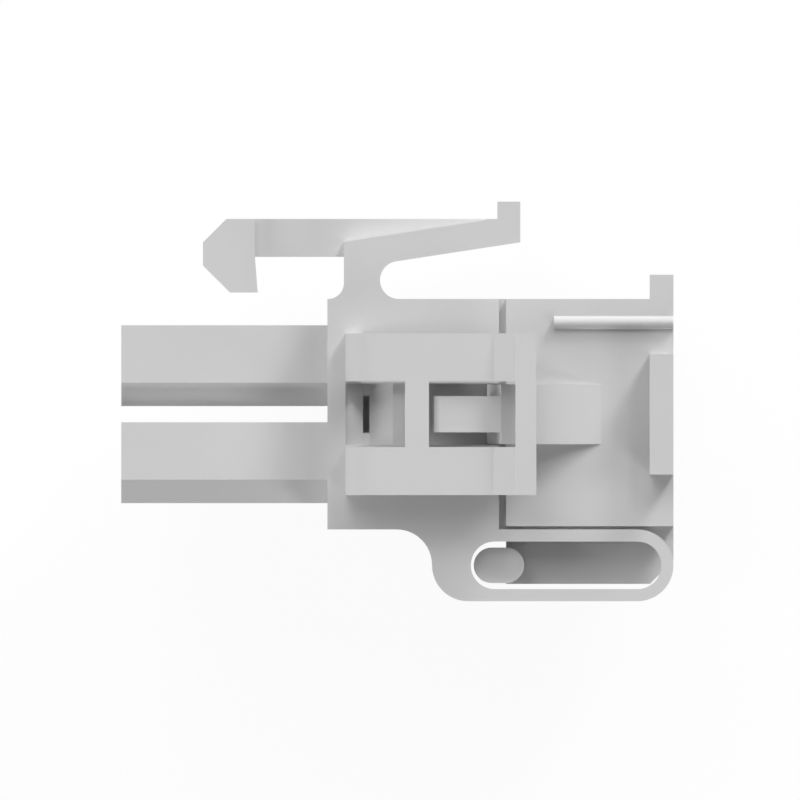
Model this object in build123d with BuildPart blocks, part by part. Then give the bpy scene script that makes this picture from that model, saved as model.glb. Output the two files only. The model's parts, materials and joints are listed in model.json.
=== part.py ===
from build123d import *
import os
from math import cos, radians, sin, tan

os.makedirs("parts", exist_ok=True)

# Plug housing of a rectangular two-row power connector, in millimetres.
# It lies on one side. X runs from the mating end to the wire end, Y from the
# loops to the latch lever, and Z up. Profiles are drawn from the mating
# shoulder of the body, half way between the rows and half way across.

# Contact grid and silos
pitch = 6.0
rows = 2
columns = 3
silo_size = 5.0
silo_length = 12.75
silo_wall = 0.7
silo_chamfer = 1.45
silo_front_wall = 1.0
mouth_size = 2.6
mouth_lead = 0.35

# Body of the front housing
body_length = 11.05
body_height = 14.25
side_cover = 2.0
edge_step_width = 0.44
edge_step_depth = 0.45

# Latch lever: hook at the mating end, thumb plate at the wire end
lever_rise = 4.95
hook_reach = 7.7
hook_arm_thick = 2.35
hook_drop = 2.2
hook_top_chamfer = 1.45
hook_ramp = 1.67
hook_nose = 1.72
hook_undercut = 0.17
hook_arm_inset = 2.0
nose_proud = 0.4
leg_start = 1.02
leg_thick = 2.23
leg_height = 3.54
leg_width = 3.2
leg_fillet = 0.99
thumb_slot_radius = 1.17
thumb_tilt = 8.7
thumb_reach = 11.93
tab_thick = 1.42
tab_height = 1.07

# Side frames, one bowed over each side face
frame_start = 1.12
frame_length = 11.8
frame_height = 10.0
frame_gap = 1.75
frame_thick = 1.0
frame_bend = 0.85
bar_height = 2.97
cross_bar_start = 4.8
cross_bar_width = 1.48
end_bar_width = 1.29
end_bar_gap = 2.5
pad_rise = 0.9
pad_ramp = 1.35

# Pocket, slit and recess in each side face, under the frame
dip_start_depth = 0.15
dip_depth = 0.85
slit_start = 2.2
slit_width = 0.4
slit_height = 2.3
slit_depth = 2.3
ramp_depth = 0.85
ramp_length = 1.46
ledge_depth = 0.25
recess_start = 5.6
recess_depth = 1.4

# Side loops that hold the cross pin of the rear lock
loop_thick = 1.6
loop_band = 0.75
loop_slot = 2.94
loop_slot_length = 11.78
loop_start = 6.47
loop_fillet = 2.2

# Rear lock
rear_length = 10.35
rear_gap = 0.2
flange_thick = 1.47
flange_height = 1.5
rail_height = 7.46
rail_rise = 1.8
rib_radius = 0.4
rib_drop = 1.47
rib_length = 7.4
wire_passage = 3.9
wire_lead = 0.45

# Block and tongue on each side of the rear lock
block_height = 3.7
block_start = 9.87
block_nose = 0.87
block_rise = 2.05
block_length = 5.9
block_bury = 0.9
tongue_reach = 4.48
tongue_height = 2.24
tongue_rise = 2.4
tongue_thick = 1.6
tongue_root_depth = 0.4
tongue_round = 0.35

# Keel webs and cross pin
web_thick = 1.4
web_drop = 3.57
web_chamfer = 1.45
pin_height = 2.2
pin_length = 3.12
pin_inset = 0.8

# Locking fingers between the rows
finger_reach = 5.0
finger_thick = 1.0
finger_width = 3.0

# Clearances
slide_clearance = 0.05
finger_clearance = 0.15
web_clearance = 0.7
pin_clearance = 0.18

# Sizes that follow
body_half = (columns - 1) / 2 * pitch + silo_size / 2 + side_cover
body_top = body_height / 2
body_bottom = -body_height / 2
lever_top = body_top + lever_rise
tab_top = lever_top + tab_height
arm_under = lever_top - hook_arm_thick
loop_radius = loop_slot / 2 + loop_band
loop_y = body_bottom - loop_radius
loop_bottom = loop_y - loop_radius
total_length = silo_length + body_length + rear_length
rear_end = body_length + rear_length
rear_bottom = body_bottom + rear_gap
frame_top = frame_gap + frame_thick
frame_outer = frame_bend + frame_thick
frame_end = frame_start + frame_length
window_height = frame_height - 2 * bar_height

# Planes: side planes carry X and Y, cross planes Y and Z, level planes X and Z.
origin_x = silo_length - total_length / 2
origin_y = -(tab_top + loop_bottom) / 2
origin_z = body_half + frame_top + pad_rise
side = Plane((origin_x, origin_y, origin_z), x_dir=(1, 0, 0), z_dir=(0, 0, 1))
cross = Plane((origin_x, origin_y, origin_z), x_dir=(0, 1, 0), z_dir=(1, 0, 0))
level = Plane((origin_x, origin_y, origin_z), x_dir=(1, 0, 0), z_dir=(0, -1, 0))

# Section of one silo, square with its two lower corners cut off
half = silo_size / 2
silo_section = [
    (half, -half),
    (half, half),
    (silo_chamfer - half, half),
    (-half, half - silo_chamfer),
    (-half, silo_chamfer - half),
    (silo_chamfer - half, -half),
]

# Outline of the legs and thumb plate
slot_x = leg_start + leg_thick + thumb_slot_radius
slot_y = body_top + thumb_slot_radius
under_x = slot_x - thumb_slot_radius * sin(radians(thumb_tilt))
under_y = slot_y + thumb_slot_radius * cos(radians(thumb_tilt))
leg_top = body_top + leg_height
tab_start = thumb_reach - tab_thick
thumb_top_x = leg_start + (lever_top - leg_top) / tan(radians(thumb_tilt))
thumb_end_y = under_y + (thumb_reach - under_x) * tan(radians(thumb_tilt))

# Outline of the hook arm, which stays inside the thumb plate behind the legs
nose_x = -hook_reach
nose_bottom = arm_under - hook_drop
nose_ramp_x = nose_x + hook_ramp
catch_x = nose_ramp_x + hook_nose
leg_end = leg_start + leg_thick
arm_end_y = arm_under + (tab_start - leg_end) * tan(radians(thumb_tilt))
hook_arm_half = body_half - hook_arm_inset

# Front housing
with BuildPart() as front_housing:
    # Body
    with BuildSketch(side):
        with Locations((body_length / 2, 0)):
            Rectangle(body_length, body_height)
    extrude(amount=body_half, both=True)

    # Step along the rear edge of each side face
    for turn in (1, -1):
        with BuildSketch(side.offset(turn * body_half)):
            with Locations((body_length - edge_step_width / 2, 0)):
                Rectangle(edge_step_width, body_height)
        extrude(amount=-turn * edge_step_depth, mode=Mode.SUBTRACT)

    # Silos
    with BuildSketch(cross):
        with GridLocations(pitch, pitch, rows, columns):
            Polygon(*silo_section)
    extrude(amount=-silo_length)

    # Legs and thumb plate of the lever
    with BuildSketch(side):
        with BuildLine():
            Line((slot_x, body_top), (leg_start - leg_fillet, body_top))
            RadiusArc((leg_start - leg_fillet, body_top), (leg_start, body_top + leg_fillet), -leg_fillet)
            Polyline(
                (leg_start, body_top + leg_fillet),
                (leg_start, leg_top),
                (thumb_top_x, lever_top),
                (tab_start, lever_top),
                (tab_start, tab_top),
                (thumb_reach, tab_top),
                (thumb_reach, thumb_end_y),
                (under_x, under_y),
            )
            ThreePointArc(
                (under_x, under_y),
                (slot_x - thumb_slot_radius, slot_y),
                (slot_x, body_top),
            )
        make_face()
    extrude(amount=body_half, both=True)

    # Space between the two legs
    with BuildSketch(side):
        with Locations(((leg_start - leg_fillet + slot_x) / 2, (body_top + under_y) / 2)):
            Rectangle(slot_x - leg_start + leg_fillet, under_y - body_top)
    extrude(amount=body_half - leg_width, both=True, mode=Mode.SUBTRACT)

    # Hook arm
    with BuildSketch(side):
        Polygon(
            (catch_x - hook_undercut, lever_top),
            (catch_x - hook_undercut, arm_under),
            (leg_end, arm_under),
            (tab_start, arm_end_y),
            (tab_start, lever_top),
            align=None,
        )
    extrude(amount=hook_arm_half, both=True)

    # Hook nose
    with BuildSketch(side):
        Polygon(
            (nose_x, nose_bottom + hook_ramp),
            (nose_ramp_x, nose_bottom),
            (catch_x, nose_bottom),
            (catch_x - hook_undercut, arm_under),
            (catch_x - hook_undercut, lever_top),
            (nose_x + hook_top_chamfer, lever_top),
            (nose_x, lever_top - hook_top_chamfer),
            align=None,
        )
    extrude(amount=hook_arm_half + nose_proud, both=True)

    for turn in (1, -1):
        face = turn * body_half

        # Side frame, bent up from the side face and stepped up to its end pad
        with BuildSketch(level):
            with BuildLine():
                Line((frame_start, face), (frame_start, face + turn * (frame_top - frame_outer)))
                RadiusArc(
                    (frame_start, face + turn * (frame_top - frame_outer)),
                    (frame_start + frame_outer, face + turn * frame_top),
                    turn * frame_outer,
                )
                Polyline(
                    (frame_start + frame_outer, face + turn * frame_top),
                    (frame_end - end_bar_width - pad_ramp, face + turn * frame_top),
                    (frame_end - end_bar_width, face + turn * (frame_top + pad_rise)),
                    (frame_end, face + turn * (frame_top + pad_rise)),
                    (frame_end, face + turn * end_bar_gap),
                    (frame_end - end_bar_width, face + turn * end_bar_gap),
                    (frame_end - end_bar_width - pad_ramp, face + turn * frame_gap),
                    (frame_start + frame_outer, face + turn * frame_gap),
                )
                RadiusArc(
                    (frame_start + frame_outer, face + turn * frame_gap),
                    (frame_start + frame_thick, face + turn * (frame_gap - frame_bend)),
                    -turn * frame_bend,
                )
                Polyline(
                    (frame_start + frame_thick, face + turn * (frame_gap - frame_bend)),
                    (frame_start + frame_thick, face),
                    (frame_start, face),
                )
            make_face()
        extrude(amount=frame_height / 2, both=True)

        # Windows between the bars of the frame
        second_start = cross_bar_start + cross_bar_width
        second_end = frame_end - end_bar_width
        with BuildSketch(side.offset(face)):
            with Locations((cross_bar_start / 2, 0)):
                Rectangle(cross_bar_start, window_height)
            with Locations(((second_start + second_end) / 2, 0)):
                Rectangle(second_end - second_start, window_height)
        extrude(amount=turn * (frame_top + pad_rise), mode=Mode.SUBTRACT)

        # Dip that leads down to the slit
        slit_end = slit_start + slit_width
        with BuildSketch(level):
            Polygon(
                (frame_start, face),
                (frame_start, face - turn * dip_start_depth),
                (slit_start, face - turn * dip_depth),
                (slit_end, face - turn * dip_depth),
                (slit_end, face),
                align=None,
            )
        extrude(amount=block_height / 2 + slide_clearance, both=True, mode=Mode.SUBTRACT)

        # Slit
        with BuildSketch(side.offset(face)):
            with Locations((slit_start + slit_width / 2, 0)):
                Rectangle(slit_width, slit_height)
        extrude(amount=-turn * slit_depth, mode=Mode.SUBTRACT)

        # Ramp that rises from the slit to a ledge
        with BuildSketch(level):
            Polygon(
                (slit_end, face),
                (slit_end, face - turn * ramp_depth),
                (slit_end + ramp_length, face - turn * ledge_depth),
                (recess_start, face - turn * ledge_depth),
                (recess_start, face),
                align=None,
            )
        extrude(amount=block_height / 2 + slide_clearance, both=True, mode=Mode.SUBTRACT)

        # Recess for the tongue, open to the wire end
        with BuildSketch(side.offset(face)):
            with Locations(((recess_start + body_length) / 2, 0)):
                Rectangle(body_length - recess_start, block_height + 2 * slide_clearance)
        extrude(amount=-turn * recess_depth, mode=Mode.SUBTRACT)

        # Side loop with its long slot
        loop_end_x = rear_end - loop_radius
        slot_left = rear_end - loop_band - loop_slot_length
        with BuildSketch(side.offset(face)):
            with BuildLine():
                Line((loop_start - loop_fillet, body_bottom), (loop_end_x, body_bottom))
                ThreePointArc((loop_end_x, body_bottom), (rear_end, loop_y), (loop_end_x, loop_bottom))
                Line((loop_end_x, loop_bottom), (loop_start + loop_radius, loop_bottom))
                RadiusArc((loop_start + loop_radius, loop_bottom), (loop_start, loop_y), loop_radius)
                Line((loop_start, loop_y), (loop_start, body_bottom - loop_fillet))
                RadiusArc(
                    (loop_start, body_bottom - loop_fillet),
                    (loop_start - loop_fillet, body_bottom),
                    -loop_fillet,
                )
            make_face()
            with Locations((slot_left + loop_slot_length / 2, loop_y)):
                SlotOverall(loop_slot_length, loop_slot, mode=Mode.SUBTRACT)
        extrude(amount=-turn * loop_thick)

    # Contact cavities, as deep as the silos and the body
    with BuildSketch(cross.offset(silo_front_wall - silo_length)):
        with GridLocations(pitch, pitch, rows, columns):
            Polygon(*silo_section)
        offset(amount=-silo_wall, kind=Kind.INTERSECTION, mode=Mode.REPLACE)
    extrude(amount=silo_length - silo_front_wall + body_length, mode=Mode.SUBTRACT)

    # Contact mouths with their lead-in
    with BuildSketch(cross.offset(-silo_length)):
        with GridLocations(pitch, pitch, rows, columns):
            Rectangle(mouth_size, mouth_size)
    extrude(amount=silo_front_wall, mode=Mode.SUBTRACT)
    with BuildSketch(cross.offset(-silo_length)):
        with GridLocations(pitch, pitch, rows, columns):
            Rectangle(mouth_size + 2 * mouth_lead, mouth_size + 2 * mouth_lead)
    extrude(amount=mouth_lead, taper=45, mode=Mode.SUBTRACT)

    # Slots for the locking fingers
    finger_slot = finger_reach + finger_clearance
    with BuildSketch(cross.offset(body_length)):
        with GridLocations(pitch, pitch, 1, columns):
            Rectangle(finger_thick + 2 * finger_clearance, finger_width + 2 * finger_clearance)
    extrude(amount=-finger_slot, mode=Mode.SUBTRACT)

front_housing.part.label = "front_housing"
export_step(front_housing.part, "parts/front_housing.step")

# Rear lock
with BuildPart() as rear_lock:
    # Body and the flange along its top
    rear_height = body_top - rear_bottom
    with BuildSketch(side):
        with Locations((body_length + rear_length / 2, (body_top + rear_bottom) / 2)):
            Rectangle(rear_length, rear_height)
        with Locations((rear_end - flange_thick / 2, body_top + flange_height / 2)):
            Rectangle(flange_thick, flange_height)
    extrude(amount=body_half, both=True)

    for turn in (1, -1):
        face = turn * body_half

        # Side rail
        with BuildSketch(side.offset(face)):
            with Locations((rear_end - flange_thick / 2, 0)):
                Rectangle(flange_thick, rail_height)
        extrude(amount=turn * rail_rise)

        # Half-round rib
        with BuildSketch(cross.offset(rear_end)):
            with Locations((body_top - rib_drop, face)):
                Circle(rib_radius)
        extrude(amount=-rib_length)

        # Block, with a short nose and one long slope down to the wire end
        nose_top_x = block_start + block_nose
        block_end = body_length + block_length
        with BuildSketch(level):
            Polygon(
                (block_start, face - turn * block_bury),
                (nose_top_x, face + turn * block_rise),
                (block_end, face),
                (block_end, face - turn * block_bury),
                align=None,
            )
        extrude(amount=block_height / 2, both=True)

        # Tongue, which rises from the block towards its tip
        tongue_tip = body_length - tongue_reach
        with BuildSketch(level):
            Polygon(
                (nose_top_x, face + turn * block_rise),
                (tongue_tip, face + turn * tongue_rise),
                (tongue_tip, face + turn * (tongue_rise - tongue_thick)),
                (nose_top_x, face - turn * tongue_root_depth),
                align=None,
            )
            tip_corners = vertices().group_by(Axis.X)[0]
            fillet(tip_corners, radius=tongue_round)
        extrude(amount=tongue_height / 2, both=True)

        # Keel web
        web_face = turn * (body_half - loop_thick - web_clearance)
        with BuildSketch(side.offset(web_face)):
            with Locations((body_length + rear_length / 2, rear_bottom - web_drop / 2)):
                Rectangle(rear_length, web_drop)
            low_rear_corner = vertices().group_by(Axis.Y)[0].sort_by(Axis.X)[-1]
            chamfer(low_rear_corner, length=web_chamfer)
        extrude(amount=-turn * web_thick)

    # Cross pin, which runs through both loops
    pin_start = rear_end - loop_band - loop_slot_length + pin_clearance
    with BuildSketch(side):
        with Locations((pin_start + pin_length / 2, loop_y)):
            SlotOverall(pin_length, pin_height)
    extrude(amount=body_half - pin_inset, both=True)

    # Locking fingers
    with BuildSketch(cross.offset(body_length)):
        with GridLocations(pitch, pitch, 1, columns):
            Rectangle(finger_thick, finger_width)
    extrude(amount=-finger_reach)

    # Wire passages with their lead-in
    with BuildSketch(cross.offset(body_length)):
        with GridLocations(pitch, pitch, rows, columns):
            Rectangle(wire_passage, wire_passage)
    extrude(amount=rear_length, mode=Mode.SUBTRACT)
    with BuildSketch(cross.offset(rear_end)):
        with GridLocations(pitch, pitch, rows, columns):
            Rectangle(wire_passage + 2 * wire_lead, wire_passage + 2 * wire_lead)
    extrude(amount=-wire_lead, taper=45, mode=Mode.SUBTRACT)

rear_lock.part.label = "rear_lock"
export_step(rear_lock.part, "parts/rear_lock.step")
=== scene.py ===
import json
import math

import bpy
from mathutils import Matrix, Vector

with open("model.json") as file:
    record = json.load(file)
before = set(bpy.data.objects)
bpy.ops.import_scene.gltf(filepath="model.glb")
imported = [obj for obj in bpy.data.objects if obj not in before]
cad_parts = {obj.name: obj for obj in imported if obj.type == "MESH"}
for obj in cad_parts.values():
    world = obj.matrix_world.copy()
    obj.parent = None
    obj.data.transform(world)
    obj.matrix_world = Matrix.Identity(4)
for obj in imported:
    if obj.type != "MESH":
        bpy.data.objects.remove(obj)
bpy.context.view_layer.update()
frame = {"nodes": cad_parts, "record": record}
print("frame loaded")

mm = 0.001
white = (1, 1, 1, 1)


def addNode(tree, kind, place, **values):
    node = tree.nodes.new(kind)
    node.location = place
    for name, value in values.items():
        setattr(node, name, value)
    return node


# Nylon of the front housing
housingNylon = {
    "colour": (0.61, 0.61, 0.61),
    "ior": 1.5,
    "roughLow": 0.59,           # dull satin, a little uneven
    "roughHigh": 0.66,
    "cloudScale": 160.0,        # waves in each metre
    "cloudDetail": 3.0,
    "cloudRange": (0.3, 0.7),   # part of the noise that is used
    "cloudShift": 0.012,        # how far the grey wanders
    "grainScale": 5200.0,
    "grainDetail": 4.0,
    "grainDepth": 0.004,        # mm
}

# The rear lock is moulded in the same nylon
lockNylon = dict(housingNylon)


def makeNylon(name, settings):
    material = bpy.data.materials.new(name)
    material.use_nodes = True
    tree = material.node_tree
    shader = tree.nodes["Principled BSDF"]
    shader.inputs["IOR"].default_value = settings["ior"]
    coords = addNode(tree, "ShaderNodeTexCoord", (-1100, 0))

    # Slow drift of the grey, as the melt flows in
    cloud = addNode(tree, "ShaderNodeTexNoise", (-850, 250))
    cloud.inputs["Scale"].default_value = settings["cloudScale"]
    cloud.inputs["Detail"].default_value = settings["cloudDetail"]
    tree.links.new(coords.outputs["Object"], cloud.inputs["Vector"])
    low, high = settings["cloudRange"]
    shift = settings["cloudShift"]
    ramp = addNode(tree, "ShaderNodeValToRGB", (-600, 350))
    darkEnd, paleEnd = ramp.color_ramp.elements
    darkEnd.position = low
    darkEnd.color = [c - shift for c in settings["colour"]] + [1.0]
    paleEnd.position = high
    paleEnd.color = [c + shift for c in settings["colour"]] + [1.0]
    tree.links.new(cloud.outputs["Fac"], ramp.inputs["Fac"])
    tree.links.new(ramp.outputs["Color"], shader.inputs["Base Color"])

    # The same clouds make it a little duller or glossier
    rough = addNode(tree, "ShaderNodeMapRange", (-600, 50))
    rough.inputs["From Min"].default_value = low
    rough.inputs["From Max"].default_value = high
    rough.inputs["To Min"].default_value = settings["roughLow"]
    rough.inputs["To Max"].default_value = settings["roughHigh"]
    tree.links.new(cloud.outputs["Fac"], rough.inputs["Value"])
    tree.links.new(rough.outputs["Result"], shader.inputs["Roughness"])

    # Fine grain of the mould
    grain = addNode(tree, "ShaderNodeTexNoise", (-850, -250))
    grain.inputs["Scale"].default_value = settings["grainScale"]
    grain.inputs["Detail"].default_value = settings["grainDetail"]
    tree.links.new(coords.outputs["Object"], grain.inputs["Vector"])
    bump = addNode(tree, "ShaderNodeBump", (-400, -250))
    bump.inputs["Distance"].default_value = settings["grainDepth"] * mm
    bump.inputs["Strength"].default_value = 1.0
    tree.links.new(grain.outputs["Fac"], bump.inputs["Height"])
    tree.links.new(bump.outputs["Normal"], shader.inputs["Normal"])
    return material


def dressMoulding(nodeName, materialName, settings):
    # The CAD mesh stays as it is: the nylon takes the place of its plain material
    moulding = frame["nodes"][nodeName]
    moulding.data.materials.clear()
    moulding.data.materials.append(makeNylon(materialName, settings))
    print(nodeName, "in", materialName + ",", len(moulding.data.polygons), "faces")


dressMoulding("front_housing", "housingNylon", housingNylon)
dressMoulding("rear_lock", "lockNylon", lockNylon)

# Suns: turn in the picture from straight up to the right, lift towards the camera, power, angular size
sunSettings = {
    "key": (30, 15, 2.10, 15),          # long low light from above the lever, it draws the block's shadow
    "keyHigh": (30, 35, 0.48, 14),
    "upperLeft": (-30, 45, 0.92, 40),
    "upper": (0, 30, 0.80, 40),
    "left": (-98, 16, 1.28, 18),        # the mating end
    "right": (135, 26, 0.67, 18),       # the wire end
    "lower": (180, 6, 0.52, 12),        # grazes in under the loops
}


def addSun(name, turn, lift, power, soft):
    data = bpy.data.lights.new(name, "SUN")
    data.energy = power
    data.angle = math.radians(soft)
    lamp = bpy.data.objects.new(name, data)
    t, u = math.radians(turn), math.radians(lift)
    towards = Vector((math.sin(t) * math.cos(u), math.cos(t) * math.cos(u), math.sin(u)))
    lamp.rotation_euler = towards.to_track_quat("Z", "Y").to_euler()
    bpy.context.scene.collection.objects.link(lamp)


for name, values in sunSettings.items():
    addSun(name, *values)
print(len(sunSettings), "suns set")


def addPlainRays(tree):
    # 1 for camera, glossy and transmission rays, which see plain white round the plug
    path = addNode(tree, "ShaderNodeLightPath", (-700, 300))
    seen = addNode(tree, "ShaderNodeMath", (-500, 300), operation="MAXIMUM")
    seenToo = addNode(tree, "ShaderNodeMath", (-300, 300), operation="MAXIMUM")
    tree.links.new(path.outputs["Is Camera Ray"], seen.inputs[0])
    tree.links.new(path.outputs["Is Glossy Ray"], seen.inputs[1])
    tree.links.new(seen.outputs[0], seenToo.inputs[0])
    tree.links.new(path.outputs["Is Transmission Ray"], seenToo.inputs[1])
    return seenToo.outputs[0]


# Studio: a faint even sky lights the plug, and the eye sees white
skySettings = {
    "level": 0.09,
    "backdrop": 1.0,
}
world = bpy.data.worlds.new("studio")
bpy.context.scene.world = world
world.use_nodes = True
tree = world.node_tree
sky = tree.nodes["Background"]
sky.inputs["Color"].default_value = white
sky.inputs["Strength"].default_value = skySettings["level"]
backdrop = addNode(tree, "ShaderNodeBackground", (-300, -200))
backdrop.inputs["Color"].default_value = white
backdrop.inputs["Strength"].default_value = skySettings["backdrop"]
mix = addNode(tree, "ShaderNodeMixShader", (0, 100))
tree.links.new(addPlainRays(tree), mix.inputs["Fac"])
tree.links.new(sky.outputs[0], mix.inputs[1])
tree.links.new(backdrop.outputs[0], mix.inputs[2])
tree.links.new(mix.outputs[0], tree.nodes["World Output"].inputs["Surface"])
print("studio set")

# Pale floor: nearly all white to the eye, with a lit share that keeps the plug's shadow
floorSettings = {
    "reach": 2.0,           # m, each way from the plug
    "share": 0.88,          # share of the white
    "glow": 1.055,
    "colour": (0.65, 0.65, 0.65, 1),
    "rough": 0.9,
}
r = floorSettings["reach"]
floorMesh = bpy.data.meshes.new("floor")
floorMesh.from_pydata([(-r, -r, 0), (r, -r, 0), (r, r, 0), (-r, r, 0)], [], [(0, 1, 2, 3)])
floor = bpy.data.objects.new("floor", floorMesh)
bpy.context.scene.collection.objects.link(floor)
floorMaterial = bpy.data.materials.new("floorWhite")
floorMaterial.use_nodes = True
tree = floorMaterial.node_tree
lit = tree.nodes["Principled BSDF"]
lit.inputs["Base Color"].default_value = floorSettings["colour"]
lit.inputs["Roughness"].default_value = floorSettings["rough"]
share = addNode(tree, "ShaderNodeMath", (-100, 300), operation="MULTIPLY")
share.inputs[1].default_value = floorSettings["share"]
tree.links.new(addPlainRays(tree), share.inputs[0])
glow = addNode(tree, "ShaderNodeEmission", (-300, -200))
glow.inputs["Color"].default_value = white
glow.inputs["Strength"].default_value = floorSettings["glow"]
mix = addNode(tree, "ShaderNodeMixShader", (200, 100))
tree.links.new(share.outputs[0], mix.inputs["Fac"])
tree.links.new(lit.outputs[0], mix.inputs[1])
tree.links.new(glow.outputs[0], mix.inputs[2])
tree.links.new(mix.outputs[0], tree.nodes["Material Output"].inputs["Surface"])
floorMesh.materials.append(floorMaterial)
print("floor laid")

# Camera: straight down on the plug as it lies, at the photograph's scale
cameraSettings = {
    "pxPerMm": 16.17,       # 97 px between the rows, which are 6 mm apart
    "imagePx": 800,
    "shoulderPx": 327.4,    # mating shoulder of the body, x in the photograph
    "rowMidPx": 414.2,      # half way between the rows, y in the photograph
    "height": 0.2,          # m
    "farClip": 5.0,
}
c = cameraSettings
cameraData = bpy.data.cameras.new("camera")
cameraData.type = "ORTHO"
cameraData.ortho_scale = c["imagePx"] / c["pxPerMm"] * mm
cameraData.clip_end = c["farClip"]
camera = bpy.data.objects.new("camera", cameraData)
bpy.context.scene.collection.objects.link(camera)
# The shoulder and the middle of the rows come from the frame: the mating_face mount sits on both
matingFace = next(m for m in frame["record"]["mounts"] if m["name"] == "mating_face")
shoulder = Vector(matingFace["pos_m"])
midPx = c["imagePx"] / 2
camera.location = (
    shoulder.x + (midPx - c["shoulderPx"]) / c["pxPerMm"] * mm,
    shoulder.y - (midPx - c["rowMidPx"]) / c["pxPerMm"] * mm,
    c["height"],
)
bpy.context.scene.camera = camera
bpy.context.scene.view_settings.view_transform = "Standard"
print("camera set")
